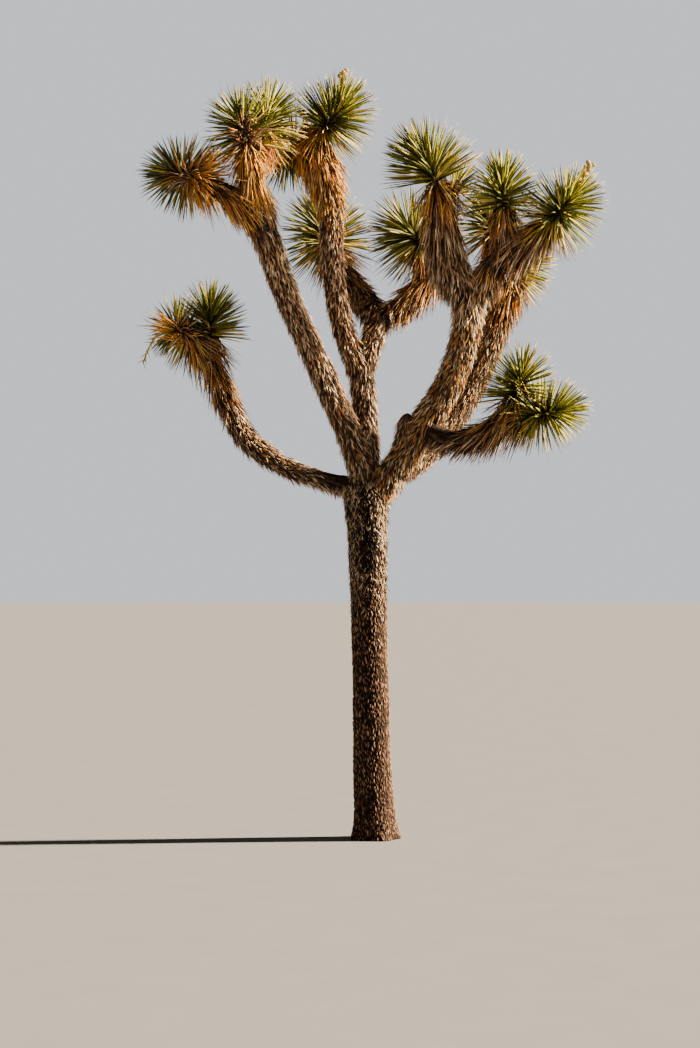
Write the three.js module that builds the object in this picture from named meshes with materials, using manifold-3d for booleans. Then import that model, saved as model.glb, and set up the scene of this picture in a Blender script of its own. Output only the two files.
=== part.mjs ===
// A Joshua tree, Yucca brevifolia, about 4.6 m tall: a single trunk that forks into shaggy boughs, and a
// rosette of dagger leaves at the end of each. Millimetres, +Z up. The origin is the middle of the flat cut
// under the trunk, at ground level. +X is the right-hand side of the tree's front, and +Y is behind it.
import * as THREE from "three";
import { mergeVertices } from "three/addons/utils/BufferGeometryUtils.js";
import Module from "manifold-3d";

const wasm = await Module();
wasm.setup();

const UP = new THREE.Vector3(0, 0, 1);
const BACK = new THREE.Vector3(0, 1, 0);
const DEGREE = Math.PI / 180;
const GOLDEN_ANGLE = 137.508 * DEGREE;

// Joints between pieces that touch
const CLEARANCE = 0.3;
const BEND_GAP = 0.4;

// Limbs
const LIMB_SIDES = 10;
const STUB_SIDES = 6;
const RING_SPACING = 150;
const PATH_HANDLES = [0.36, 0.36];
const DOME_ANGLES = [42, 76].map((angle) => angle * DEGREE);
const LUMPS = 0.03; // how far a limb's girth swells and shrinks round it

// Root flare at the ground
const FLARE = { reach: 34, height: 105, lobes: 5, lobe: 0.3 };
const BELOW_GROUND = 60;

// Rosettes: the leafy crown is the last part of each shoot, and old leaves hang below it
const SHOOT = { foot: 70, neck: 58, heart: 68, sides: 7 };
const CROWN_LENGTH = 160;
const LEAF = { length: 300, width: 33, thickness: 14, sides: 3 };
const GREEN_LEAVES = 36;
const OLD_LEAVES = 11;
const LOWEST_SPREAD = 116; // degrees that the lowest green leaves stand from the way the shoot points
const HIGHEST_SPREAD = 6;
const OLD_LEAF_STAND_OFF = 42 * DEGREE; // of the lowest hanging leaves, from the way back down the shoot
const OLD_LEAF_LIFT = 26 * DEGREE; // by how much more the highest of them stand off
const OLD_LEAF_DROOP = 0.25;

// Dry flower stalks
const STALK = { root: 9, tip: 5, sides: 5, pod: [30, 48, 30], pods: 5 };

// Each limb runs from a share of the way along another one out to its own tip. sets_off and arrives are
// directions, as degrees of lean from upright and a heading: 0 is +X, 90 is +Y, 180 is -X and 270 is -Y.
// A limb with bend: true carries straight on from the flat end of the last one. handles are the lengths of
// its path's two handles, as shares of the way from end to end, and radii are evenly spaced along it. A stub
// is a short dead snag that stands on a limb and is one with it.
const LIMBS = [
  { name: "trunk", tip: [-52, 0, 2150], sets_off: [1.5, 180], arrives: [1, 180],
    radii: [121, 119, 112, 108, 108, 115, 144] },
  { name: "centre_stem", on: "trunk", at: 0.96, tip: [-84, 50, 2836], sets_off: [6, 40], arrives: [5, 160],
    radii: [84, 80, 92] },
  { name: "right_bough", on: "trunk", at: 0.945, tip: [351, -80, 2570], sets_off: [51, 345],
    arrives: [36, 335], handles: [0.34, 0.35], radii: [112, 104, 106], flat: true,
    stub: { at: 0.42, tip: [196, -70, 2545], radius: 58 } },
  { name: "tall_left_bough", on: "trunk", at: 0.955, tip: [-504, -260, 3185], sets_off: [9, 230],
    arrives: [26, 205], handles: [0.22, 0.33], radii: [92, 88, 82], flat: true },
  { name: "low_left_bough", on: "trunk", at: 0.985, tip: [-733, 190, 2359], sets_off: [85, 165],
    arrives: [52, 162], handles: [0.38, 0.41], radii: [54, 62, 74], flat: true },
  { name: "low_left_top", on: "low_left_bough", bend: true, tip: [-1015, 330, 2904], arrives: [26, 150],
    handles: [0.22, 0.45], radii: [74, 74] },
  { name: "tall_left_top", on: "tall_left_bough", bend: true, tip: [-687, -420, 3677], arrives: [25, 200],
    radii: [82, 86, 96] },
  { name: "far_left_arm", on: "tall_left_top", at: 0.9, tip: [-934, -480, 3838], sets_off: [50, 190],
    arrives: [62, 195], radii: [90, 72] },
  { name: "top_left_arm", on: "tall_left_top", at: 0.9, tip: [-732, -450, 3941], sets_off: [2, 180],
    arrives: [10, 240], radii: [92, 80] },
  { name: "centre_left_bough", on: "centre_stem", at: 0.92, tip: [-264, 40, 3743], sets_off: [25, 182],
    arrives: [1, 180], handles: [0.4, 0.38], radii: [80, 74, 80], flat: true },
  { name: "centre_left_top", on: "centre_left_bough", bend: true, tip: [-391, 60, 4204], arrives: [22, 185],
    radii: [80, 96, 116, 108], stub: { at: 0.86, tip: [-427, 50, 4300], radius: 40 } },
  { name: "centre_right_stem", on: "centre_stem", at: 0.92, tip: [44, 140, 3157], sets_off: [22, 40],
    arrives: [26, 30], radii: [78, 80] },
  { name: "back_bough", on: "centre_right_stem", at: 0.9, tip: [-206, 470, 3447], sets_off: [46, 122],
    arrives: [42, 125], radii: [80, 92, 90] },
  { name: "cross_bough", on: "centre_right_stem", at: 0.9, tip: [374, 240, 3446], sets_off: [66, 20],
    arrives: [38, 15], radii: [70, 80, 76] },
  { name: "right_front_bough", on: "right_bough", bend: true, tip: [551, -280, 3260], arrives: [1, 270],
    radii: [106, 98, 98, 120] },
  { name: "right_back_bough", on: "right_bough", at: 0.38, tip: [847, 540, 3392], sets_off: [80, 55],
    arrives: [19, 30], handles: [0.36, 0.4], radii: [98, 103, 90] },
  { name: "low_right_bough", on: "right_bough", at: 0.82, tip: [818, -330, 2545], sets_off: [120, 325],
    arrives: [50, 340], handles: [0.32, 0.66], radii: [72, 78, 78] },
  { name: "crown_left_arm", on: "right_front_bough", at: 0.93, tip: [388, -330, 3771], sets_off: [46, 185],
    arrives: [0, 180], radii: [98, 136, 122, 66] },
  { name: "crown_right_arm", on: "right_front_bough", at: 0.93, tip: [760, -320, 3449], sets_off: [44, 350],
    arrives: [50, 345], radii: [96, 94] },
  { name: "far_right_arm", on: "crown_right_arm", at: 0.85, tip: [1008, -380, 3624], sets_off: [56, 345],
    arrives: [54, 345], radii: [92, 80] },
];

// Each rosette's shoot grows from the end of a limb to its own growing tip, which points as arrives says.
// size scales its leaves. leaves is its own count of green ones, and spread and opening are how far the
// lowest and the innermost of them stand off.
const ROSETTES = [
  { name: "low_left_rosette", on: "low_left_top", tip: [-1004, 320, 3196], arrives: [12, 320],
    spread: 98 },
  { name: "low_left_outer_rosette", on: "low_left_top", tip: [-1236, 130, 3085], arrives: [85, 210],
    size: 0.92, opening: 66, stalk: [[-90, -20, -20], [-165, -20, -225]] },
  { name: "far_left_rosette", on: "far_left_arm", tip: [-1198, -300, 3938], arrives: [88, 125] },
  { name: "top_left_rosette", on: "top_left_arm", tip: [-800, -385, 4255], arrives: [34, 150] },
  { name: "top_left_inner_rosette", on: "top_left_arm", tip: [-635, -200, 4340], arrives: [26, 60] },
  { name: "centre_rosette", on: "centre_left_top", tip: [-207, 10, 4382], arrives: [36, 345],
    size: 1.1, spread: 100, stalk: [[0, 20, 90], [16, -10, 214]] },
  { name: "shaded_rosette", on: "centre_left_top", tip: [-600, 250, 4145], arrives: [74, 145] },
  { name: "back_rosette", on: "back_bough", tip: [-338, 640, 3766], arrives: [34, 135], size: 1.2 },
  { name: "cross_rosette", on: "cross_bough", tip: [190, 284, 3690], arrives: [75, 120], size: 1.2 },
  { name: "crown_left_rosette", on: "crown_left_arm", tip: [278, -405, 4024], arrives: [41, 190],
    size: 1.18, spread: 78 },
  { name: "crown_inner_rosette", on: "crown_left_arm", tip: [500, -190, 3930], arrives: [38, 50],
    size: 0.75, spread: 60, leaves: 16 },
  { name: "crown_middle_rosette", on: "crown_right_arm", tip: [739, -380, 3900], arrives: [8, 260],
    size: 0.94, spread: 98 },
  { name: "far_right_rosette", on: "far_right_arm", tip: [1136, -450, 3775], arrives: [46, 345],
    size: 1.05, spread: 118, stalk: [[50, 10, 110], [112, 0, 200]] },
  { name: "crown_back_rosette", on: "right_back_bough", tip: [704, 700, 3849], arrives: [20, 150] },
  { name: "back_right_rosette", on: "right_back_bough", tip: [943, 700, 3535], arrives: [74, 40] },
  { name: "low_right_rosette", on: "low_right_bough", tip: [855, -390, 2769], arrives: [12, 300],
    size: 0.94 },
  { name: "low_right_outer_rosette", on: "low_right_bough", tip: [1074, -430, 2539], arrives: [76, 345],
    size: 0.94 },
];

const bark = new THREE.MeshStandardMaterial({ color: 0x5a4534, roughness: 0.95, metalness: 0 });
const thatch = new THREE.MeshStandardMaterial({ color: 0x7b5f42, roughness: 0.92, metalness: 0 });
const foliage = new THREE.MeshStandardMaterial({ color: 0x66702f, roughness: 0.6, metalness: 0 });

// Seeded numbers from 0 to 1, the same at every build.
function seeded(seed) {
  let state = seed * 2654435761;
  return () => {
    state = (state + 0x6d2b79f5) | 0;
    let mixed = Math.imul(state ^ (state >>> 15), 1 | state);
    mixed = (mixed + Math.imul(mixed ^ (mixed >>> 7), 61 | mixed)) ^ mixed;
    return ((mixed ^ (mixed >>> 14)) >>> 0) / 4294967296;
  };
}

function heading([lean, compass]) {
  const across = Math.sin(lean * DEGREE);
  return new THREE.Vector3(
    across * Math.cos(compass * DEGREE),
    across * Math.sin(compass * DEGREE),
    Math.cos(lean * DEGREE),
  );
}

function pathBetween(start, setsOff, tip, arrives, handles = PATH_HANDLES) {
  const span = start.distanceTo(tip);
  return new THREE.CubicBezierCurve3(
    start,
    start.clone().addScaledVector(setsOff, span * handles[0]),
    tip.clone().addScaledVector(arrives, -span * handles[1]),
    tip,
  );
}

// The radius at a share of the way along a limb, smoothed between its evenly spaced radii.
function girthAt(radii, share) {
  const spot = share * (radii.length - 1);
  const before = Math.min(Math.floor(spot), radii.length - 2);
  const blend = THREE.MathUtils.smoothstep(spot - before, 0, 1);
  return THREE.MathUtils.lerp(radii[before], radii[before + 1], blend);
}

// Where a limb's rings lie along it, and for a round tip how they draw in. push is how far a ring faces
// along the limb, from -1 at the root's end to 1 at the tip's.
function ringsOf(length, tipRadius, flatTip) {
  const dome = flatTip ? 0 : tipRadius / length;
  const count = Math.max(2, Math.round((length * (1 - dome)) / RING_SPACING));
  const rings = [];
  for (let i = 0; i <= count; i++) {
    rings.push({ share: (i / count) * (1 - dome), girth: 1, push: i === 0 ? -1 : 0 });
  }
  if (flatTip) {
    rings[count].push = 1;
    return rings;
  }
  for (const angle of DOME_ANGLES) {
    rings.push({ share: 1 - dome * (1 - Math.sin(angle)), girth: Math.cos(angle), push: Math.sin(angle) });
  }
  return rings;
}

// A closed tube along a path: a cylinder whose rings are carried to the path and given their own radii.
function tubeAlong(path, rings, radiusAt, sides, grow = 0) {
  const tube = new THREE.CylinderGeometry(1, 1, 1, sides, rings.length - 1);
  const frames = rings.map(({ share, push }) => {
    const ahead = path.getTangentAt(share);
    const across = squareTo(ahead);
    const centre = path.getPointAt(share).addScaledVector(ahead, grow * push);
    return { centre, across, other: across.clone().cross(ahead) };
  });
  const points = tube.attributes.position;
  const spot = new THREE.Vector3();
  for (let i = 0; i < points.count; i++) {
    const ring = Math.round((points.getY(i) + 0.5) * (rings.length - 1));
    const x = points.getX(i);
    const z = points.getZ(i);
    const { centre, across, other } = frames[ring];
    const radius = radiusAt(rings[ring].share, Math.atan2(z, x)) * rings[ring].girth + grow;
    spot.copy(centre).addScaledVector(across, x * radius).addScaledVector(other, z * radius);
    points.setXYZ(i, spot.x, spot.y, spot.z);
  }
  return solidFrom(tube);
}

// The direction nearest to +Y that is square to another.
function squareTo(ahead) {
  return BACK.clone().addScaledVector(ahead, -BACK.dot(ahead)).normalize();
}

// The manifold solid of a closed geometry.
function solidFrom(geometry) {
  const bare = geometry.clone();
  bare.deleteAttribute("normal");
  bare.deleteAttribute("uv");
  const merged = mergeVertices(bare, 1e-3);
  return new wasm.Manifold(new wasm.Mesh({
    numProp: 3,
    vertProperties: new Float32Array(merged.attributes.position.array),
    triVerts: new Uint32Array(merged.index.array),
  }));
}

function meshFrom(name, solid, material) {
  const { vertProperties, triVerts } = solid.getMesh();
  const geometry = new THREE.BufferGeometry();
  geometry.setAttribute("position", new THREE.BufferAttribute(new Float32Array(vertProperties), 3));
  geometry.setIndex(new THREE.BufferAttribute(new Uint32Array(triVerts), 1));
  geometry.computeVertexNormals();
  const mesh = new THREE.Mesh(geometry, material);
  mesh.name = name;
  return mesh;
}

// A cut can leave crumbs beside the piece itself. Only the largest body is kept.
function withoutScraps(solid) {
  return solid.decompose().reduce((best, body) => (body.volume() > best.volume() ? body : best));
}

function boxesApart(a, b, margin) {
  return [0, 1, 2].some((axis) => a.min[axis] > b.max[axis] + margin || b.min[axis] > a.max[axis] + margin);
}

// Grows one limb: its path, its solid cut clear of every earlier limb, and the slightly larger tube that
// cuts the later ones.
function growLimb(limb, index, grown) {
  const parent = grown.get(limb.on);
  const path = pathOf(limb, parent);
  const phase = limb.bend ? parent.phase : seeded(index + 1)() * 2 * Math.PI;
  const radiusAt = (share, angle) => {
    const lumps = 1 + LUMPS * (Math.sin(2 * angle + phase) + Math.sin(3 * angle - phase));
    return girthAt(limb.radii, share) * lumps + (parent ? 0 : flareAt(path.getPointAt(share).z, angle));
  };
  const tipRadius = limb.radii.at(-1);
  const rings = ringsOf(path.getLength(), tipRadius, limb.flat);
  let solid = tubeAlong(path, rings, radiusAt, LIMB_SIDES);
  let cutter = tubeAlong(path, rings, radiusAt, LIMB_SIDES, CLEARANCE);
  if (limb.stub) {
    solid = solid.add(stubOf(limb.stub, path, 0));
    cutter = cutter.add(stubOf(limb.stub, path, CLEARANCE));
  }
  return { path, phase, tipRadius, solid: cutClear(solid, grown), cutter };
}

function pathOf(limb, parent) {
  const tip = new THREE.Vector3(...limb.tip);
  const arrives = heading(limb.arrives);
  if (limb.bend) {
    const setsOff = parent.path.getTangentAt(1);
    const start = parent.path.getPointAt(1).addScaledVector(setsOff, BEND_GAP);
    return pathBetween(start, setsOff, tip, arrives, limb.handles);
  }
  const start = parent ? parent.path.getPointAt(limb.at) : new THREE.Vector3(0, 0, -BELOW_GROUND);
  return pathBetween(start, heading(limb.sets_off), tip, arrives, limb.handles);
}

function stubOf(stub, path, grow) {
  const foot = path.getPointAt(stub.at);
  const tip = new THREE.Vector3(...stub.tip);
  const stubPath = new THREE.LineCurve3(foot, tip);
  const rings = ringsOf(stubPath.getLength(), stub.radius, false);
  return tubeAlong(stubPath, rings, () => stub.radius, STUB_SIDES, grow);
}

function cutClear(solid, grown) {
  for (const other of grown.values()) {
    solid = solid.subtract(other.cutter);
  }
  return withoutScraps(solid);
}

function flareAt(height, angle) {
  const lobes = 1 + FLARE.lobe * Math.sin(FLARE.lobes * angle);
  return FLARE.reach * lobes * Math.exp(-Math.max(height, 0) / FLARE.height);
}

// A dagger leaf with its root at a point: a flat spike with a keel.
const spike = new THREE.ConeGeometry(0.5, 1, LEAF.sides).translate(0, 0.5, 0);
const unitLeaf = solidFrom(spike);

function leafAt(root, direction, [width, length, thickness], flatFace) {
  const across = new THREE.Vector3().crossVectors(direction, flatFace).normalize();
  const face = new THREE.Vector3().crossVectors(across, direction);
  const place = new THREE.Matrix4().makeBasis(
    across.multiplyScalar(width),
    direction.clone().multiplyScalar(length),
    face.multiplyScalar(thickness),
  );
  place.setPosition(root);
  return unitLeaf.transform(place.elements);
}

// The leaves of one rosette, from the lowest old leaf up to the growing tip, set round the shoot at the
// golden angle.
function leavesOf(path, rosette, random) {
  const { size = 1, leaves: green = GREEN_LEAVES } = rosette;
  const { spread = LOWEST_SPREAD, opening = HIGHEST_SPREAD } = rosette;
  const crown = Math.min(CROWN_LENGTH / path.getLength(), 0.7);
  const lowest = Math.max(1 - 1.5 * crown, 0.15);
  const leaves = [];
  for (let i = 0; i < OLD_LEAVES + green; i++) {
    const old = i < OLD_LEAVES;
    const rise = old ? i / (OLD_LEAVES - 1) : (i - OLD_LEAVES) / (green - 1);
    const share = old ? THREE.MathUtils.lerp(lowest, 1 - crown, rise) : 1 - crown * (1 - 0.85 * rise);
    const ahead = path.getTangentAt(share);
    const outward = squareTo(ahead).applyAxisAngle(ahead, i * GOLDEN_ANGLE + (random() - 0.5) * 0.3);
    const forward = THREE.MathUtils.lerp(Math.cos(spread * DEGREE), Math.cos(opening * DEGREE), rise);
    const direction = old ? hangingWay(ahead, outward, rise) : growingWay(ahead, outward, forward);
    const growth = (old ? 0.9 : 1 - 0.14 * rise) * (0.92 + 0.08 * random());
    const reach = LEAF.length * size * growth;
    const root = path.getPointAt(share);
    leaves.push(leafAt(root, direction, [LEAF.width, reach, LEAF.thickness], old ? outward : ahead));
  }
  return leaves;
}

function growingWay(ahead, outward, forward) {
  return ahead.clone().multiplyScalar(forward).addScaledVector(outward, Math.sqrt(1 - forward ** 2));
}

function hangingWay(ahead, outward, rise) {
  const standOff = OLD_LEAF_STAND_OFF + OLD_LEAF_LIFT * rise;
  const way = ahead.clone().multiplyScalar(-Math.cos(standOff)).addScaledVector(outward, Math.sin(standOff));
  return way.addScaledVector(UP, -OLD_LEAF_DROOP).normalize();
}

// A dry flower stalk: a thin bent stem out of the rosette's heart, with pods standing off its outer half.
// middle and top are where it bends to and ends, from the shoot's growing tip.
function stalkOf(path, [middle, top]) {
  const tip = path.getPointAt(1);
  const bend = tip.clone().add(new THREE.Vector3(...middle));
  const end = tip.clone().add(new THREE.Vector3(...top));
  const stalkPath = new THREE.QuadraticBezierCurve3(path.getPointAt(0.9), bend, end);
  const rings = [0, 0.25, 0.5, 0.75, 1].map((share) => ({ share, girth: 1, push: 0 }));
  const radiusAt = (share) => THREE.MathUtils.lerp(STALK.root, STALK.tip, share);
  const pieces = [tubeAlong(stalkPath, rings, radiusAt, STALK.sides)];
  for (let i = 0; i < STALK.pods; i++) {
    const share = 0.55 + (0.43 * i) / (STALK.pods - 1);
    const ahead = stalkPath.getTangentAt(share);
    const outward = squareTo(ahead).applyAxisAngle(ahead, i * GOLDEN_ANGLE);
    const direction = outward.addScaledVector(ahead, 0.7).normalize();
    pieces.push(leafAt(stalkPath.getPointAt(share), direction, STALK.pod, ahead));
  }
  return wasm.Manifold.union(pieces);
}

// The shoot that a rosette's leaves stand on, from inside its limb's tip to the growing tip. It swells to the
// packed leaf bases at the rosette's heart.
function growShoot(rosette, grown) {
  const parent = grown.get(rosette.on);
  const start = parent.path.getPointAt(0.9);
  const tip = new THREE.Vector3(...rosette.tip);
  const straight = tip.clone().sub(start).normalize();
  const setsOff = parent.path.getTangentAt(1).addScaledVector(straight, 2).normalize();
  const path = pathBetween(start, setsOff, tip, heading(rosette.arrives));
  const radiusAt = (share) => girthAt([SHOOT.foot, SHOOT.neck, SHOOT.heart, SHOOT.heart], share);
  const rings = ringsOf(path.getLength(), SHOOT.heart, false);
  const solid = cutClear(tubeAlong(path, rings, radiusAt, SHOOT.sides), grown);
  return { path, solid, cutter: tubeAlong(path, rings, radiusAt, SHOOT.sides, CLEARANCE) };
}

// Adds a rosette's leaves to its shoot, leaving out each that would touch another piece of the tree.
function growRosette(rosette, index, shoot, others) {
  const near = others.map((solid) => ({ solid, box: solid.boundingBox() }));
  const clear = (leaf) => {
    const box = leaf.boundingBox();
    return near.every(({ solid, box: room }) => {
      return boxesApart(box, room, 1) || solid.minGap(leaf, 1) > 2 * CLEARANCE;
    });
  };
  const leaves = leavesOf(shoot.path, rosette, seeded(100 + index)).filter(clear);
  const stalks = rosette.stalk ? [stalkOf(shoot.path, rosette.stalk)] : [];
  return withoutScraps(wasm.Manifold.union([shoot.solid, ...leaves, ...stalks]));
}

const grown = new Map();
LIMBS.forEach((limb, index) => grown.set(limb.name, growLimb(limb, index, grown)));
const soil = solidFrom(new THREE.BoxGeometry(1000, 1000, 400).translate(0, 0, -200));
grown.get("trunk").solid = grown.get("trunk").solid.subtract(soil);
ROSETTES.forEach((rosette) => grown.set(rosette.name, growShoot(rosette, grown)));

// Each rosette is leafed in turn, clear of the limbs, the rosettes before it and the bare shoots after it.
ROSETTES.forEach((rosette, index) => {
  const shoot = grown.get(rosette.name);
  const others = [...grown.values()].filter((piece) => piece !== shoot).map((piece) => piece.solid);
  shoot.solid = growRosette(rosette, index, shoot, others);
});

const tree = new THREE.Group();
tree.name = "joshua_tree";
for (const [name, piece] of grown) {
  const limb = LIMBS.find((candidate) => candidate.name === name);
  tree.add(meshFrom(name, piece.solid, limb ? (limb.on ? thatch : bark) : foliage));
}

export default tree;
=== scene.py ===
"""A Joshua tree about 4.6 m tall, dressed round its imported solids.

The trunk has a mesh of corky plates, each bough a fibrous core under a thatch of dead leaves that point
back towards the trunk, and each rosette a few hundred keeled dagger leaves. Limbs and rosettes follow the
same named sizes and rule of growth as the solids. Tables are in millimetres and meshes in metres, +Z up,
with the origin in the middle of the flat cut under the trunk. +X is the right-hand side of the front and
+Y is behind.
"""
from math import atan2, cos, pi, radians, sin, sqrt

import bmesh
import bpy
import numpy as np
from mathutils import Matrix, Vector, noise


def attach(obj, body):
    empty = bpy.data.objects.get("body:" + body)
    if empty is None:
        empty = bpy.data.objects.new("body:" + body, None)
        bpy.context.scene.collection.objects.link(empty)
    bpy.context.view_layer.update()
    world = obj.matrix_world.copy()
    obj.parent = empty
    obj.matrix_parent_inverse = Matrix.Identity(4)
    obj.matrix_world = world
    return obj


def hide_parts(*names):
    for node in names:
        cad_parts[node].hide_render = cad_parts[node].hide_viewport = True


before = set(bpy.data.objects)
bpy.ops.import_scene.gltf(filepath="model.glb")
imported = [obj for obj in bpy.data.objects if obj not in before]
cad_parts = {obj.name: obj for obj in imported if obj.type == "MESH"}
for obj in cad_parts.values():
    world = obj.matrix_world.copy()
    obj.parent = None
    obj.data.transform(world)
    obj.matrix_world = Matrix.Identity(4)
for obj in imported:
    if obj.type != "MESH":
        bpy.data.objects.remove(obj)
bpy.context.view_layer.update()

MM = 0.001
UP = np.array([0.0, 0.0, 1.0])
BACK = np.array([0.0, 1.0, 0.0])
TO_FRONT = np.array([-0.03, -0.99, -0.12])
GOLDEN_ANGLE = radians(137.508)

PATH_HANDLES = (0.36, 0.36)
BELOW_GROUND = 60
# What a limb adds to its chances of dark, grey, pale, brown, rust and golden dead leaves. SUNLIT paints
# sunlight as fewer dark leaves and more pale, rust and golden ones, and the dark leaves that SHADED and
# BROWNED_AND_SHADED add are painted shade between the dead leaves.
WEATHERED = (0.25, 0.25, 0.05, -0.2, -0.1, -0.05)
SHADED = (0.6, 0.35, 0.5, 0.1, -0.15, -0.3)
SUNLIT = (-0.14, 0.06, 0.16, 0.0, 0.18, 0.26)
GOLDEN = (-0.1, -0.05, 0.0, -0.1, 0.1, 0.45)
BROWNED_AND_SHADED = (0.32, 0.08, 0.1, 0.16, -0.1, -0.24)
UNCHANGED = (0.0,) * 6
FLARE = dict(reach=34, height=105, lobes=5, lobe=0.3)
LUMPS = 0.03
# Limbs: what each grows on, from which share of the way along it, its tip, how it sets off and arrives
# there, its radii, and more. Setting off and arriving are degrees of lean from upright and a heading, 0 for
# +X and 90 for +Y, and None carries straight on. bare is how far out its upper side has lost its leaves,
# shift is what it adds to their colours, and from painted_light_from on they are pale, a painted pool of
# sunlight.
# stub is a dead side shoot.
LIMBS = {
    "trunk": (None, None, (-52, 0, 2150), (1.5, 180), (1, 180), (121, 119, 112, 108, 108, 115, 144), {}),
    "centre_stem": ("trunk", 0.96, (-84, 50, 2836), (6, 40), (5, 160), (84, 80, 92), dict(shift=WEATHERED)),
    "right_bough": ("trunk", 0.945, (351, -80, 2570), (51, 345), (36, 335), (112, 104, 106),
        dict(handles=(0.34, 0.35), shift=SUNLIT, stub=dict(at=0.42, tip=(196, -70, 2545), radius=58))),
    "tall_left_bough": ("trunk", 0.955, (-504, -260, 3185), (9, 230), (26, 205), (92, 88, 82),
        dict(handles=(0.22, 0.33))),
    "low_left_bough": ("trunk", 0.985, (-733, 190, 2359), (85, 165), (52, 162), (54, 62, 74),
        dict(handles=(0.38, 0.41), bare=0.42)),
    "low_left_top": ("low_left_bough", 1, (-1015, 330, 2904), None, (26, 150), (74, 74),
        dict(handles=(0.22, 0.45))),
    "tall_left_top": ("tall_left_bough", 1, (-687, -420, 3677), None, (25, 200), (82, 86, 96), {}),
    # GOLDEN here partly paints light: golden-brown leaves of their own, brightened where the top left arm
    # shades them.
    "far_left_arm": ("tall_left_top", 0.9, (-934, -480, 3838), (50, 190), (62, 195), (90, 72),
        dict(shift=GOLDEN)),
    "top_left_arm": ("tall_left_top", 0.9, (-732, -450, 3941), (2, 180), (10, 240), (92, 80),
        dict(shift=GOLDEN)),
    "centre_left_bough": ("centre_stem", 0.92, (-264, 40, 3743), (25, 182), (1, 180), (80, 74, 80),
        dict(handles=(0.4, 0.38))),
    "centre_left_top": ("centre_left_bough", 1, (-391, 60, 4204), None, (22, 185), (80, 96, 116, 108),
        dict(shift=GOLDEN, stub=dict(at=0.86, tip=(-427, 50, 4300), radius=40))),
    "centre_right_stem": ("centre_stem", 0.92, (44, 140, 3157), (22, 40), (26, 30), (78, 80), {}),
    "back_bough": ("centre_right_stem", 0.9, (-206, 470, 3447), (46, 122), (42, 125), (80, 92, 90), {}),
    "cross_bough": ("centre_right_stem", 0.9, (374, 240, 3446), (66, 20), (38, 15), (70, 80, 76), {}),
    # The fork at this bough's end has a painted pool of sunlight in pale dead leaves.
    "right_front_bough": ("right_bough", 1, (551, -280, 3260), None, (1, 270), (106, 98, 98, 120),
        dict(shift=SUNLIT, painted_light_from=0.72)),
    "right_back_bough": ("right_bough", 0.38, (847, 540, 3392), (80, 55), (19, 30), (98, 103, 90),
        dict(handles=(0.36, 0.4))),
    "low_right_bough": ("right_bough", 0.82, (818, -330, 2545), (120, 325), (50, 340), (72, 78, 78),
        dict(handles=(0.32, 0.66), bare=0.5, shift=BROWNED_AND_SHADED)),
    "crown_left_arm": ("right_front_bough", 0.93, (388, -330, 3771), (46, 185), (0, 180),
        (98, 136, 122, 66), dict(shift=SHADED)),
    "crown_right_arm": ("right_front_bough", 0.93, (760, -320, 3449), (44, 350), (50, 345), (96, 94), {}),
    "far_right_arm": ("crown_right_arm", 0.85, (1008, -380, 3624), (56, 345), (54, 345), (92, 80),
        dict(shift=SHADED)),
}

# Rosettes: the limb that carries each shoot on its end, its growing tip, how it arrives there, and more.
# size is a share of the usual length of leaf, and leaves the number of green ones. The lowest stand spread
# degrees off the shoot and the highest opening degrees, and none points to open_side. dry and sunny add
# straw-coloured and bright ones. ruff is a number of short dead leaves in front, and brush some long ones
# that point one way. stalk is where a dry flower stalk bends and ends, from the tip, with pods unless it
# says no.
ROSETTES = {
    "low_left_rosette": ("low_left_top", (-1004, 320, 3196), (12, 320), dict(spread=98)),
    "low_left_outer_rosette": ("low_left_top", (-1236, 130, 3085), (85, 210),
        dict(size=0.92, opening=66, dry=0.8, ruff=50, open_side=(0.85, -0.5, 0.1),
             brush=dict(way=(-0.7, -0.5, 0.12), leaves=60), stalk=((-90, -20, -20), (-165, -20, -225)),
             pods=False)),
    "far_left_rosette": ("far_left_arm", (-1198, -300, 3938), (88, 125),
        dict(dry=0.2, ruff=110, brush=dict(way=(0.8, -0.3, 0.55), leaves=64))),
    "top_left_rosette": ("top_left_arm", (-800, -385, 4255), (34, 150), dict(ruff=70)),
    "top_left_inner_rosette": ("top_left_arm", (-635, -200, 4340), (26, 60), {}),
    "centre_rosette": ("centre_left_top", (-207, 10, 4382), (36, 345),
        dict(size=1.1, spread=100, stalk=((0, 20, 90), (16, -10, 214)))),
    "shaded_rosette": ("centre_left_top", (-600, 250, 4145), (74, 145), {}),
    "back_rosette": ("back_bough", (-338, 640, 3766), (34, 135), dict(size=1.2)),
    "cross_rosette": ("cross_bough", (190, 284, 3690), (75, 120), dict(size=1.2)),
    "crown_left_rosette": ("crown_left_arm", (278, -405, 4024), (41, 190), dict(size=1.18, spread=78)),
    "crown_inner_rosette": ("crown_left_arm", (500, -190, 3930), (38, 50),
        dict(size=0.75, spread=60, leaves=80, dry=0.4)),
    "crown_middle_rosette": ("crown_right_arm", (739, -380, 3900), (8, 260), dict(size=0.94, spread=98)),
    "far_right_rosette": ("far_right_arm", (1136, -450, 3775), (46, 345),
        dict(size=1.05, spread=118, stalk=((50, 10, 110), (112, 0, 200)))),
    "crown_back_rosette": ("right_back_bough", (704, 700, 3849), (20, 150), {}),
    "back_right_rosette": ("right_back_bough", (943, 700, 3535), (74, 40), dict(dry=0.45)),
    "low_right_rosette": ("low_right_bough", (855, -390, 2769), (12, 300), dict(size=0.94)),
    "low_right_outer_rosette": ("low_right_bough", (1074, -430, 2539), (76, 345),
        dict(size=0.94, dry=0.3, sunny=0.5)),
}
SHOOT_RADII = (70, 58, 68, 68)
CROWN_LENGTH = 160
LEAF_LENGTH = 300
LOWEST_SPREAD = 116
HIGHEST_SPREAD = 6
OLD_LEAF_STAND_OFF = radians(42)
OLD_LEAF_LIFT = radians(26)

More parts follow.
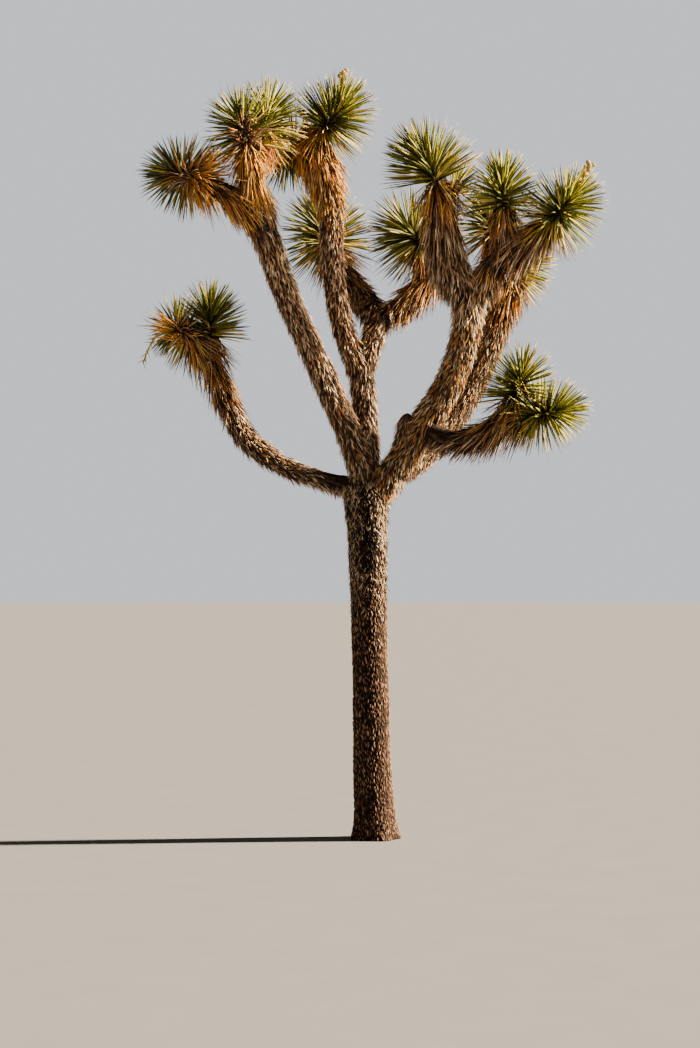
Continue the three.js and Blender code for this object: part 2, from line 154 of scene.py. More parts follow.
# How finely the visible tree is grown
GREEN_LEAVES = 230
OLD_LEAVES = 120
STUB_ROUNDS_FROM = 0.72
PIECE_TRIANGLES = 190000
# Sides round each core, and rings along it or the metres between them
TRUNK_SIDES, TRUNK_RINGS = 284, 340
STUB_SIDES, STUB_RINGS = 40, 30
BOUGH_SIDES, BOUGH_RING = 44, 0.016
# Metres across and along the trunk for each plate, the plates' relief, and the trunk's swell
PLATE_ACROSS, PLATE_TALL = 0.0098, 0.038
PLATE_RELIEF, SWELL = 0.010, 0.006
CORE_SHARE = 0.80  # of a bough's girth that is core, with thatch over it
SHOOT_SHARE = 0.62
THATCH_SPACING = 0.00022  # square metres of bough for each dead leaf
TRUNK_REMAINS = 4600
FRESH_REACH = 0.42  # metres from the green leaves over which dead ones turn old
FOOT_REACH = 0.1  # metres from a limb's root over which its dead leaves hang down its carrier
SQUARELY = 0.25  # how squarely a limb has to leave its carrier for that
PATCH = 0.11  # metres across for a patch of paler or darker dead leaves
TRUNK_SEED, THATCH_SEED, LEAF_SEED, STALK_SEED = 499, 500, 900, 70


# Paths

def unit(vectors):
    return vectors / np.linalg.norm(vectors, axis=-1, keepdims=True)


def dot(a, b):
    return np.sum(a * b, axis=-1, keepdims=True)


def smooth(x):
    x = np.clip(x, 0, 1)
    return x * x * (3 - 2 * x)


def heading(lean, compass):
    lean, compass = radians(lean), radians(compass)
    across = sin(lean)
    return np.array([across * cos(compass), across * sin(compass), cos(lean)])


class Path:
    """A cubic curve between two points, measured evenly along its length."""

    def __init__(self, start, sets_off, tip, arrives, handles=PATH_HANDLES):
        span = np.linalg.norm(tip - start)
        self.points = [start, start + sets_off * span * handles[0], tip - arrives * span * handles[1], tip]
        self.steps = np.linspace(0, 1, 201)
        gaps = np.linalg.norm(np.diff(self.curve(self.steps[:, None]), axis=0), axis=1)
        self.measured = np.concatenate([[0], np.cumsum(gaps)])
        self.length = self.measured[-1]

    def curve(self, t):
        a, b, c, d = self.points
        return a * (1 - t) ** 3 + 3 * b * t * (1 - t) ** 2 + 3 * c * t * t * (1 - t) + d * t ** 3

    def step_at(self, share):
        return np.asarray(np.interp(np.asarray(share) * self.length, self.measured, self.steps))[..., None]

    def spot(self, share):
        return self.curve(self.step_at(share))

    def ahead(self, share):
        t = self.step_at(share)
        a, b, c, d = self.points
        return unit((b - a) * (1 - t) ** 2 + 2 * (c - b) * t * (1 - t) + (d - c) * t * t)


def outward_at(ahead, angle):
    """The way out of a limb at an angle round it."""
    across = unit(BACK - ahead * dot(ahead, BACK))
    other = np.cross(across, ahead)
    return across * np.cos(angle)[..., None] + other * np.sin(angle)[..., None]


def girth_at(radii, share):
    radii = np.asarray(radii) * MM
    spot = np.clip(share, 0, 1) * (len(radii) - 1)
    before = np.minimum(spot.astype(int), len(radii) - 2)
    blend = smooth(spot - before)
    return radii[before] * (1 - blend) + radii[before + 1] * blend


def rounded(share, rounds_from):
    """How a limb's girth draws in over a rounded end."""
    past = (share - rounds_from) / max(1 - rounds_from, 1e-6)
    return np.sqrt(np.clip(1 - np.clip(past, 0, 0.99) ** 2, 0, 1))


def flare_at(height, angle):
    lobes = 1 + FLARE["lobe"] * np.sin(FLARE["lobes"] * angle)
    return FLARE["reach"] * MM * lobes * np.exp(-np.maximum(height, 0) / (FLARE["height"] * MM))


class Piece:
    """A limb, a shoot or a stub, with what the tables leave out. beyond is how far its end is from green
    leaves, and joined are the limbs that its leaves may touch."""

    at = size = 1
    emerges = squarely = bare = ruff = sunny = 0.0
    on = stub = stalk = brush = open_side = None
    carried_on, pods = False, True
    rounds_from, painted_light_from, dry = 1.0, 2.0, 0.1
    leaves, spread, opening = GREEN_LEAVES, LOWEST_SPREAD, HIGHEST_SPREAD
    carrier_ahead, handles, shift = UP, PATH_HANDLES, UNCHANGED

    def __init__(self, **values):
        self.__dict__.update(values)


def grow_paths():
    """Every limb and shoot by name."""
    grown = {}
    for name, (on, at, tip, sets_off, arrives, radii, traits) in LIMBS.items():
        piece = Piece(on=on, at=at, radii=radii, seed=len(grown), beyond=99.0, joined=[name], **traits)
        carrier = grown.get(on)
        start = carrier.path.spot(at) if on else np.array([0, 0, -BELOW_GROUND * MM])
        way = heading(*sets_off) if sets_off else carrier.path.ahead(1.0)
        piece.path = Path(start, way, np.array(tip) * MM, heading(*arrives), piece.handles)
        grown[name] = piece
        if not sets_off:
            piece.joined.append(on)
            carrier.joined.append(name)
            carrier.carried_on = True
    for index, (name, (on, tip, arrives, traits)) in enumerate(ROSETTES.items()):
        piece = Piece(on=on, radii=SHOOT_RADII, seed=40 + index, beyond=0.0, joined=[name, on], **traits)
        carrier = grown[on]
        start, tip = carrier.path.spot(0.9), np.array(tip) * MM
        sets_off = unit(carrier.path.ahead(1.0) + 2 * unit(tip - start))
        piece.path = Path(start, sets_off, tip, heading(*arrives))
        piece.crown = min(CROWN_LENGTH * MM / piece.path.length, 0.7)
        piece.leaf = LEAF_LENGTH * MM * piece.size
        piece.shift = GOLDEN if carrier.shift is GOLDEN else BROWNED_AND_SHADED
        grown[name] = piece
    for piece in reversed(list(grown.values())):
        if piece.on:
            carrier = grown[piece.on]
            carrier.beyond = min(carrier.beyond, piece.beyond + piece.path.length)
            find_emergence(piece, carrier)
    return grown


def find_emergence(piece, carrier):
    """How far along a piece it comes out of its carrier, and how squarely it leaves it."""
    shares = np.linspace(0, 1, 60)
    apart = piece.path.spot(shares)[:, None, :] - carrier.path.spot(shares)[None, :, :]
    gap = np.linalg.norm(apart, axis=2).min(axis=1)
    piece.emerges = shares[np.argmax(gap > girth_at(carrier.radii, piece.at))] * piece.path.length
    piece.carrier_ahead = carrier.path.ahead(piece.at)
    piece.squarely = 1 - max(0.0, piece.path.ahead(0.0) @ piece.carrier_ahead)


GROWN = grow_paths()


# Barked cores

def mesh_from(bm, name):
    mesh = bpy.data.meshes.new(name)
    bm.to_mesh(mesh)
    bm.free()
    return mesh


def tube(name, path, radius_at, sides, shares, from_ground=False):
    """A closed tube along a path, rolled up from a grid whose end rows are drawn together in the middle of
    each end. radius_at(share, angle, spot) gives each vertex its radius and its relief, from 0 in a fissure
    to 1 on a ridge, which the bark's colours follow with painted shade in the fissures. On the trunk it
    also carries painted shade that darkens the bark towards the fork."""
    rows = len(shares) + 2
    bm = bmesh.new()
    bmesh.ops.create_grid(bm, x_segments=sides, y_segments=rows - 1, size=0.5)
    flat = np.array([v.co for v in bm.verts])
    angle = (flat[:, 0] + 0.5) * 2 * pi
    row = np.rint((flat[:, 1] + 0.5) * (rows - 1)).astype(int)
    share = np.concatenate([[shares[0]], shares, [shares[-1]]])[row]
    inner = (row > 0) & (row < rows - 1)
    centre = path.spot(share)
    radius, relief_and_shade = radius_at(share, angle, centre)
    spots = centre + outward_at(path.ahead(share), angle) * np.where(inner, radius, 0)[:, None]
    if from_ground:
        spots[:, 2] = np.maximum(spots[:, 2], 0)
        spots[row <= 1, 2] = 0
    layer = bm.verts.layers.float.new("relief_and_shade")
    for vert, spot, height in zip(bm.verts, spots, relief_and_shade):
        vert.co = spot
        vert[layer] = height
    bmesh.ops.remove_doubles(bm, verts=bm.verts, dist=1e-5)
    bmesh.ops.recalc_face_normals(bm, faces=bm.faces)
    for face in bm.faces:
        face.smooth = True
    return mesh_from(bm, name)


def noise_at(spots):
    return np.array([noise.noise(Vector(spot)) for spot in spots])


def plates(spots):
    """Corky plates with upright fissures between them, from 0 in a fissure to 1 on a plate."""
    wander = noise_at(spots * (45, 45, 20))[:, None]
    heights = []
    for place in spots / (PLATE_ACROSS, PLATE_ACROSS, PLATE_TALL) + wander * (0.8, -0.8, 0.5):
        gaps, points = noise.voronoi(Vector(place))
        edge = min((gaps[1] - gaps[0]) / 0.42, 1)
        heights.append(edge * (0.84 + 0.16 * noise.cell(points[0] * 7.3)))
    return np.clip(heights, 0, 1)


def fibres(spots, across, along, seed):
    """Ragged ridges, from -1 to 1, that run the long way of a straightened limb."""
    scaled = spots / (across, across, along) + (0, 0, seed)
    return np.array([noise.fractal(Vector(spot), 0.8, 2.1, 3) for spot in scaled])


def straightened(path, share, angle, radius):
    """Where a point of the surface would be if the limb were straight."""
    return np.stack([np.cos(angle) * radius, np.sin(angle) * radius, share * path.length], axis=1)


def trunk_mesh(piece):
    """The trunk from where it leaves the ground, with a closed top."""
    path, radii = piece.path, piece.radii
    shares = np.linspace(0, 1, 50)
    first = np.interp(0, path.spot(shares)[:, 2], shares)
    end = 0.97
    closing_rings = end + (1 - end) * np.sin(np.linspace(0.3, 1.5, 6))
    shares = np.concatenate([np.linspace(first, end, TRUNK_RINGS), closing_rings])

    def radius_at(share, angle, centre):
        lumps = 1 + LUMPS * (np.sin(2 * angle + 1.1) + np.sin(3 * angle - 1.1))
        radius = girth_at(radii, share) * lumps + flare_at(centre[:, 2], angle)
        flat = straightened(path, share, angle, radius)
        height = plates(flat)
        swell = noise_at(flat * (7, 7, 3))
        closing = 1 - smooth((share - 0.965) / 0.035) * 0.8
        # Painted shade: the bark's colour darkens up the trunk towards the fork, under the leaf remains.
        painted_shade = 1 - 0.6 * smooth((share - 0.6) / 0.25)
        return radius * closing + PLATE_RELIEF * (height - 0.6) + SWELL * swell, height * painted_shade

    return tube("trunk_bark", path, radius_at, TRUNK_SIDES, shares, from_ground=True)


def bough_mesh(name, piece, share_of_girth, last=1.0):
    path, radii = piece.path, piece.radii
    shares = np.linspace(0, last, max(10, round(path.length * last / BOUGH_RING)))
    dome = 0.02 if piece.carried_on else min(0.9, 0.8 * radii[-1] * MM / path.length)

    def radius_at(share, angle, centre):
        radius = girth_at(radii, share) * share_of_girth
        flat = straightened(path, share, angle, radius)
        ridges = fibres(flat, 0.014, 0.07, piece.seed * 3.1)
        return radius * rounded(share / last, 1 - dome / last) * (1 + 0.075 * ridges), 0.5 + 0.5 * ridges

    return tube(name, path, radius_at, BOUGH_SIDES, shares)


def stub_mesh(name, piece):
    """A short dead snag with a blunt, splintered end."""
    path, radius = piece.path, piece.radii[0] * MM

    def radius_at(share, angle, centre):
        ridges = fibres(straightened(path, share, angle, np.full(len(share), radius)), 0.012, 0.05, 5.0)
        return radius * 0.8 * rounded(share, STUB_ROUNDS_FROM) * (1 + 0.12 * ridges), 0.4 + 0.5 * ridges

    return tube(name, path, radius_at, STUB_SIDES, np.linspace(0, 1, STUB_RINGS))


# Leaves

def blade_pattern(sides, rings):
    """The corners of a blade's faces, where each face starts in them, and how far along and across each
    point is."""
    ring = np.arange(rings - 1)[:, None] * sides
    side = np.arange(sides)
    after = (side + 1) % sides
    walls = np.stack([ring + side, ring + after, ring + after + sides, ring + side + sides], axis=-1)
    last = (rings - 1) * sides
    tip = np.stack([last + side, last + after, np.full(sides, last + sides)], axis=-1)
    corners = np.concatenate([walls.reshape(-1), tip.reshape(-1), side[::-1]])
    starts = np.cumsum([0] + [4] * (rings - 1) * sides + [3] * sides)
    along = np.append(np.repeat(np.arange(rings) / rings, sides), 1.0)
    across = np.append(np.tile(side / sides, rings), 0.5)
    return corners, starts, along, across


def blade_mesh(name, batches):
    """One mesh of the closed, tapering blades of blade_batch."""
    points, corners, starts, uvs = [], [], [], []
    point_count = corner_count = 0
    for spots, tones, sides, rings in batches:
        pattern, face_starts, along, across = blade_pattern(sides, rings)
        number = np.arange(len(spots))[:, None]
        corners.append((point_count + number * spots.shape[1] + pattern).reshape(-1))
        starts.append((corner_count + number * len(pattern) + face_starts).reshape(-1))
        points.append(spots.reshape(-1, 3))
        u = tones[:, None] + 0.03 * across[pattern]
        v = np.broadcast_to(along[pattern], u.shape)
        uvs.append(np.stack([u, v], axis=-1).reshape(-1))
        point_count += len(points[-1])
        corner_count += len(corners[-1])
    mesh = bpy.data.meshes.new(name)
    mesh.vertices.add(point_count)
    mesh.vertices.foreach_set("co", np.concatenate(points).reshape(-1).astype(np.float32))
    mesh.loops.add(corner_count)
    mesh.loops.foreach_set("vertex_index", np.concatenate(corners).astype(np.int32))
    starts = np.concatenate(starts)
    mesh.polygons.add(len(starts))
    mesh.polygons.foreach_set("loop_start", starts.astype(np.int32))
    layer = mesh.uv_layers.new(name="blade")
    layer.data.foreach_set("uv", np.concatenate(uvs).astype(np.float32))
    mesh.update(calc_edges=True)
    mesh.validate()
    return mesh


# Cross-sections, as shares of a blade's width and thickness: two edges and a keel, or a channel on top too
KEELED = ((0.5, 0.2), (0.0, -0.8), (-0.5, 0.2))
CHANNELLED = ((0.5, 0.35), (0.0, -0.65), (-0.5, 0.35), (0.0, 0.05))
# A blade's width at each ring on its way out, before its tip
LONG_PROFILE = (1.0, 0.92, 0.78, 0.6, 0.36)
SHORT_PROFILE = (1.0, 0.88, 0.62)
DAGGER_PROFILE = (1.0, 0.9, 0.8, 0.62, 0.36)


def blade_batch(profile, section, roots, ways, faces, bends, lengths, widths, thicks, tones):
    """Points of blades that set off along ways, turn by bends on their way out, and taper by profile. faces
    is the side that each one's flat face looks to."""
    rings, sides = len(profile), len(section)
    centre = roots.copy()
    points = np.empty((len(roots), rings * sides + 1, 3))
    for ring, taper in enumerate(profile):
        way = unit(ways + bends * ring / rings)
        across = unit(np.cross(way, faces))
        face = np.cross(across, way)
        width = (widths * taper)[:, None]
        thick = (thicks * (0.4 + 0.6 * taper))[:, None]
        for corner, (side, rise) in enumerate(section):
            points[:, ring * sides + corner] = centre + across * width * side + face * thick * rise
        centre = centre + way * (lengths / rings)[:, None]
    points[:, -1] = centre
    return points, tones, sides, rings


def in_pieces(batches):
    """Shares batches of blades out so that each piece stays under the limit of triangles."""
    pieces, room = [[]], 0
    for batch in batches:
        spots, _, sides, rings = batch
        triangles = len(spots) * (2 * sides * rings - 2)
        if room + triangles > PIECE_TRIANGLES:
            pieces.append([])
            room = 0
        pieces[-1].append(batch)
        room += triangles
    return pieces


def pick(values, chosen):
    return {key: value[chosen] for key, value in values.items()}


FOLIAGE = {}


def deal_out(random, values, chances, profile, section=KEELED, long=True):
    """Deals blades out to the kinds of foliage. chances is each kind's weight, for all blades or for each
    one. Those that aren't long get the short profile."""
    count = len(values["roots"])
    weights = np.stack([np.broadcast_to(chance, count) for chance in chances.values()])
    edges = np.cumsum(weights / weights.sum(axis=0), axis=0)
    dealt = (random.random(count)[None, :] > edges[:-1]).sum(axis=0)
    for number, kind in enumerate(chances):
        for chosen, taper in ((long, profile), (np.logical_not(long), SHORT_PROFILE)):
            some = pick(values, (dealt == number) & chosen)
            if len(some["roots"]):
                FOLIAGE.setdefault(kind, []).append(blade_batch(taper, section, **some))


def set_round(path, share, random, scatter):
    """The ways ahead and outward for leaves set round a limb at the golden angle, with some scatter."""
    count = len(share)
    ahead = path.ahead(share)
    return ahead, outward_at(ahead, np.arange(count) * GOLDEN_ANGLE + random.normal(0, scatter, count))


def shifted(chances, shift, share, least):
    """The chances of each kind of dead leaf, with a share of what the limb adds to them."""
    pairs = zip(chances.items(), shift)
    return {kind: np.maximum(chance + share * added, least) for (kind, chance), added in pairs}


def lay_thatch(piece, own, first=0.0, last=1.0):
    """Dead leaves on a limb, from a first share of its length to a last. They point back along it, and
    gravity pulls them."""
    random = np.random.default_rng(THATCH_SEED + piece.seed)
    path, radii = piece.path, piece.radii
    middle = girth_at(radii, (first + last) / 2)
    count = int(2 * pi * middle * path.length * (last - first) / THATCH_SPACING)
    share = first + (last - first) * (np.arange(count) + random.random(count)) / count
    ahead, outward = set_round(path, share, random, 0.2)
    core = girth_at(radii, share) * CORE_SHARE * rounded(share, piece.rounds_from)
    roots = path.spot(share) + outward * (core * 0.96)[:, None]
    distance = (1 - share) * path.length + piece.beyond - CROWN_LENGTH * MM
    fresh = np.exp(-(np.clip(distance, 0, None) / FRESH_REACH) ** 2)

    # At its foot a limb's leaves hang down its carrier, and none bends into the limb
    leaves_squarely = piece.squarely > SQUARELY
    beyond_root = share * path.length - piece.emerges
    at_foot = np.exp(-(np.clip(beyond_root, 0, None) / FOOT_REACH) ** 2) if leaves_squarely else 0 * share
    back = -ahead * (1 - at_foot)[:, None] - piece.carrier_ahead * at_foot[:, None]
    sideways = np.cross(ahead, outward)
    pull = (0.25 + 0.75 * fresh)[:, None]
    free = np.clip(-outward[:, 2:3], 0, 1)
    lift = np.abs(random.normal(0.1, 0.2, count))[:, None] + 0.16 * fresh[:, None]
    astray = (0.3 - 0.16 * fresh)[:, None] * random.normal(0, 1, (count, 1))
    ways = unit(back - UP * pull * (0.5 + 0.9 * free) + outward * lift + sideways * astray)
    least = 0.12 + 0.46 * random.random((count, 1)) ** 2 - 0.04 * fresh[:, None]
    ways = unit(ways + outward * np.maximum(least - dot(ways, outward), 0))
    bends = -UP * (0.25 + 0.5 * pull) * random.random((count, 1))
    bends = bends - outward * np.minimum(dot(bends, outward), 0) * 0.85
    bends = bends + sideways * random.normal(0, 0.12, (count, 1))

    # Long and broad near the green leaves, short and thin where they are old
    lengths = (0.056 + 0.154 * fresh) * random.uniform(0.6, 1.4, count)
    room = 0.03 + 0.8 * np.clip(beyond_root, 0, None) + 0.09 * at_foot
    lengths = np.where(leaves_squarely, np.minimum(lengths, np.maximum(room, 0.03)), lengths)
    thin = random.random(count) < 0.4 - 0.2 * fresh
    widths = np.where(thin, random.uniform(3.5, 5, count), random.uniform(6, 10, count)) * MM
    widths = widths * (1 + 0.45 * fresh)
    thinned = random.random(count) > 0.2 + 0.5 * fresh
    faces = unit(outward + sideways * random.normal(0, 0.7, (count, 1)))
    values = dict(roots=roots, ways=ways, faces=faces, bends=bends, lengths=lengths, widths=widths,
                  thicks=widths * 0.3 + 0.0006, tones=random.random(count), fresh=fresh, share=share)
    bald = smooth((piece.bare - share) / 0.12 + 0.5) * smooth((outward[:, 2] + 0.45) / 0.5)
    bald = bald if piece.bare else 0 * share
    values = pick(values, outside_limbs(roots, own) & (random.random(count) > bald) & thinned)
    fresh, share = values.pop("fresh"), values.pop("share")
    patch = noise_at(values["roots"] / PATCH + (0, 0, piece.seed))
    old = 1 - fresh
    # Painted light: towards the limb's end, from a given share, many more of its dead leaves are pale, a
    # painted pool of sunlight.
    painted_light_end = 3.0 * smooth((share - piece.painted_light_from) / 0.12)
    chances = {
        "dark_thatch": 0.2 + 0.14 * fresh + 0.5 * np.clip(-patch, 0, 1),
        "grey_thatch": 0.36 * old,
        "pale_thatch": 0.24 * old + 0.35 * np.clip(patch, 0, 1) * old + painted_light_end,
        "brown_thatch": 0.26 + 0.19 * fresh,
        "rust_thatch": 0.06 + 0.34 * fresh,
        "golden_thatch": 0.01 + 0.43 * fresh ** 1.5 + 0.5 * np.clip(patch, 0, 1) * fresh,
    }
    deal_out(random, values, shifted(chances, piece.shift, 1, 0.01), LONG_PROFILE,
             long=values["lengths"] > 0.1)


def stub_piece(piece):
    """A stub as a short limb of its own."""
    stub = piece.stub
    foot, tip = piece.path.spot(stub["at"]), np.array(stub["tip"]) * MM
    way = unit(tip - foot)
    return Piece(path=Path(foot, way, tip, way), radii=(stub["radius"],) * 2, seed=piece.seed + 30,
                 beyond=piece.beyond + 0.8, rounds_from=STUB_ROUNDS_FROM)


def lay_trunk_remains(piece):
    """Short curled leaf remains on the upper trunk, thickest below the fork."""
    random = np.random.default_rng(TRUNK_SEED)
    path, radii = piece.path, piece.radii
    share = 0.56 + 0.43 * random.random(TRUNK_REMAINS)
    ahead, outward = set_round(path, share, random, 0.3)
    keep = random.random(TRUNK_REMAINS) < 0.08 + 0.92 * smooth((share - 0.6) / 0.2)
    share, outward, ahead = share[keep], outward[keep], ahead[keep]
    count = len(share)
    roots = path.spot(share) + outward * (girth_at(radii, share) * 0.955)[:, None]
    sideways = np.cross(ahead, outward)
    ways = unit(-ahead + outward * random.uniform(0.03, 0.35, (count, 1))
                + sideways * random.normal(0, 0.5, (count, 1)))
    bends = (outward * random.normal(-0.05, 0.4, (count, 1)) - UP * 0.3
             + sideways * random.normal(0, 0.8, (count, 1)))
    lengths = random.uniform(0.03, 0.07, count)
    widths = random.uniform(3.5, 7, count) * MM
    values = dict(roots=roots, ways=ways, faces=outward, bends=bends, lengths=lengths, widths=widths,
                  thicks=widths * 0.35 + 0.0006, tones=random.random(count))
    chances = {"dark_thatch": 0.25, "grey_thatch": 0.33, "pale_thatch": 0.32, "brown_thatch": 0.1}
    deal_out(random, values, chances, SHORT_PROFILE)


def limb_probe():
    """Points along every limb with their radii, to keep leaves out of other limbs."""
    spots, girths, owners = [], [], []
    for name, piece in GROWN.items():
        shares = np.linspace(0, 0.97, 32)
        spots.append(piece.path.spot(shares))
        girths.append(girth_at(piece.radii, shares))
        owners += [name] * len(shares)
    return np.concatenate(spots), np.concatenate(girths), np.array(owners)


PROBE = limb_probe()


def outside_limbs(spots, own, girth_share=0.84):
    """Which spots lie outside every limb but their own."""
    centres, girths, owners = PROBE
    other = ~np.isin(owners, own)
    apart = np.linalg.norm(spots[:, None, :] - centres[other][None, :, :], axis=2)
    return (apart - girth_share * girths[other][None, :]).min(axis=1) > 0


def clear_of_limbs(values, own):
    """Which blades keep clear of every limb but their own, all along."""
    clear = np.ones(len(values["roots"]), bool)
    for share in (0.3, 0.55, 0.8, 1.0):
        way = unit(values["ways"] + values["bends"] * share * 0.5)
        reach = values["roots"] + way * (values["lengths"] * share)[:, None]
        clear &= outside_limbs(reach, own, 0.85)
    return clear


def sized(random, widths, thick, **values):
    """Leaves with widths between two sizes, a thickness and a tone each."""
    count = len(values["roots"])
    return dict(values, widths=random.uniform(*widths, count) * MM, thicks=np.full(count, thick * MM),
                tones=random.random(count))


def green_leaves(piece, random):
    """Dagger leaves round a shoot's growing tip at the golden angle, from the lowest up."""
    path = piece.path
    count = round(piece.leaves * piece.size)
    rise = (np.arange(count) + 0.5) / count
    share = 1 - piece.crown * (1 - 0.85 * rise)
    ahead, outward = set_round(path, share, random, 0.12)
    widest = cos(radians(piece.spread))
    closest = cos(radians(piece.opening))
    forward = widest + (closest - widest) * rise
    forward = np.clip(forward + random.normal(0, 0.045, count), -0.6, 0.995)
    ways = ahead * forward[:, None] + outward * np.sqrt(1 - forward ** 2)[:, None]
    growth = (1 - 0.14 * rise) * random.uniform(0.86, 1.0, count)
    values = sized(
        random, (15, 20), 7,
        roots=path.spot(share) + ways * 0.02,
        ways=ways,
        faces=unit(ahead + 0.35 * random.normal(0, 1, (count, 3))),
        bends=-UP * random.uniform(0, 0.12, (count, 1)) + random.normal(0, 0.03, (count, 3)),
        lengths=piece.leaf * growth - 0.02,
    )
    values["widths"] *= sqrt(piece.size)
    clear = clear_of_limbs(values, piece.joined)
    if piece.ruff:
        clear &= ways @ TO_FRONT < 0.5
    if piece.open_side:
        clear &= ways @ unit(np.array(piece.open_side)) < 0.55
    values, rise = pick(values, clear), rise[clear]
    dry, sunny = piece.dry, piece.sunny
    straw = (0.6 + 2.0 * dry) * np.clip(1 - rise / (0.22 + 0.6 * dry), 0, 1) + 0.015 + 0.25 * dry
    chances = {
        "straw_leaves": straw,
        "dark_green_leaves": (0.42 * (1 - rise) + 0.14) * (1 - 0.6 * sunny),
        "green_leaves": 0.36,
        "bright_green_leaves": 0.18 + 0.3 * rise + sunny,
    }
    deal_out(random, values, chances, DAGGER_PROFILE, CHANNELLED)


def old_leaves(piece, random):
    """Dead leaves that hang below the green ones, the latest at the top."""
    path, crown = piece.path, piece.crown
    count = round(OLD_LEAVES * piece.size)
    rise = (np.arange(count) + 0.5) / count
    lowest = max(1 - 1.5 * crown, 0.15)
    share = lowest + (1 - crown * 0.9 - lowest) * rise
    ahead, outward = set_round(path, share, random, 0.2)
    stand_off = OLD_LEAF_STAND_OFF + OLD_LEAF_LIFT * rise + random.normal(0, 0.16, count)
    ways = outward * np.sin(stand_off)[:, None] - ahead * np.cos(stand_off)[:, None] - UP * 0.25
    values = sized(
        random, (8, 13), 3,
        roots=path.spot(share) + outward * 0.02,
        ways=unit(ways),
        faces=outward,
        bends=-UP * random.uniform(0.1, 0.7, (count, 1)) + random.normal(0, 0.1, (count, 3)),
        lengths=piece.leaf * random.uniform(0.62, 0.88, count),
    )
    clear = clear_of_limbs(values, piece.joined)
    values, rise = pick(values, clear), rise[clear]
    chances = {
        "dark_thatch": 0.14 * (1 - rise) + 0.08,
        "grey_thatch": 0.1 + 0.06 * rise,
        "straw_leaves": 0.04 + 0.26 * rise,
        "brown_thatch": 0.45 * (1 - rise) + 0.2,
        "rust_thatch": 0.45 * (1 - rise) + 0.16,
        "golden_thatch": 0.18 + 0.3 * rise,
    }
    deal_out(random, values, shifted(chances, piece.shift, 0.6, 0.02), LONG_PROFILE)


def ruff_leaves(piece, random):
    """Short dead leaves that splay to the front from the heart of a rosette."""
    path, count = piece.path, piece.ruff
    share = 1 - piece.crown * random.uniform(0.35, 1.25, count)
    spread = random.uniform(0.15, 1.0, count)
    across = outward_at(np.broadcast_to(TO_FRONT, (count, 3)), np.arange(count) * GOLDEN_ANGLE)
    ways = across * spread[:, None] ** 0.5 + TO_FRONT * (1 - spread)[:, None] - path.ahead(share) * 0.2
    values = sized(
        random, (8, 14), 4,
        roots=path.spot(share) + TO_FRONT * 0.05 + across * 0.015,
        ways=unit(ways),
        faces=unit(TO_FRONT + 0.2 * across),
        bends=-UP * random.uniform(0, 0.35, (count, 1)) + random.normal(0, 0.14, (count, 3)),
        lengths=piece.leaf * random.uniform(0.3, 0.75, count) * (0.45 + 0.55 * spread),
    )
    chances = {"dark_thatch": 0.2, "grey_thatch": 0.34, "brown_thatch": 0.24, "rust_thatch": 0.11,
               "golden_thatch": 0.11}
    deal_out(random, values, chances, LONG_PROFILE)


def brush_leaves(piece, random):
    """A bunch of long dead leaves that all point one way."""
    path, brush = piece.path, piece.brush
    count = brush["leaves"]
    way = unit(np.array(brush["way"]))
    share = 1 - piece.crown * random.uniform(0.3, 1.3, count)
    ways = unit(way + random.normal(0, 0.24, (count, 3)))
    values = sized(
        random, (9, 14), 4,
        roots=path.spot(share) + ways * 0.03,
        ways=ways,
        faces=unit(TO_FRONT + 0.4 * random.normal(0, 1, (count, 3))),
        bends=UP * random.uniform(-0.15, 0.35, (count, 1)) + random.normal(0, 0.1, (count, 3)),
        lengths=piece.leaf * random.uniform(0.55, 0.95, count),
    )
    # Mostly golden: golden-brown leaves of their own, and painted light where the top left arm shades them.
    chances = {"brown_thatch": 0.12, "rust_thatch": 0.23, "golden_thatch": 0.65}
    deal_out(random, values, chances, LONG_PROFILE)


def leaf_rosette(piece):
    """All the leaves of one head."""
    random = np.random.default_rng(LEAF_SEED + piece.seed)
    green_leaves(piece, random)
    old_leaves(piece, random)
    if piece.ruff:
        ruff_leaves(piece, random)
    if piece.brush:
        brush_leaves(piece, random)


# Materials

def add_node(tree, kind, settings=None, **inputs):
    """A new node. inputs are values or sockets by name, with _ for each space, or by an i and a number."""
    node = tree.nodes.new("ShaderNode" + kind)
    for key, value in (settings or {}).items():
        setattr(node, key, value)
    for key, value in inputs.items():
        numbered = key[0] == "i" and key[1:].isdigit()
        socket = node.inputs[int(key[1:]) if numbered else key.replace("_", " ")]
        if isinstance(value, bpy.types.NodeSocket):
            tree.links.new(value, socket)
        else:
            socket.default_value = value
    return node


def streak_group():
    """Fibres along a blade or a limb, and a tone of its own for each blade, from coordinates along it."""
    group = bpy.data.node_groups.new("streaks", "ShaderNodeTree")
    for name, kind in (("Coordinates", "Vector"), ("Across", "Float"), ("Along", "Float")):
        group.interface.new_socket(name=name, in_out="INPUT", socket_type="NodeSocket" + kind)
    for name in ("Tone", "Fibre"):
        group.interface.new_socket(name=name, in_out="OUTPUT", socket_type="NodeSocketFloat")
    given = group.nodes.new("NodeGroupInput").outputs
    out = group.nodes.new("NodeGroupOutput").inputs
    scale = add_node(group, "CombineXYZ", X=given["Across"], Y=given["Along"], Z=given["Across"])
    stretched = add_node(group, "VectorMath", {"operation": "MULTIPLY"}, i0=given["Coordinates"],
                         i1=scale.outputs[0]).outputs[0]
    broad = add_node(group, "TexNoise", Vector=stretched, Scale=1.0, Detail=4.0, Roughness=0.6)
    fine = add_node(group, "TexNoise", Vector=stretched, Scale=6.0, Detail=2.0)
    group.links.new(broad.outputs["Fac"], out["Tone"])
    group.links.new(fine.outputs["Fac"], out["Fibre"])
    return group


STREAKS = streak_group()


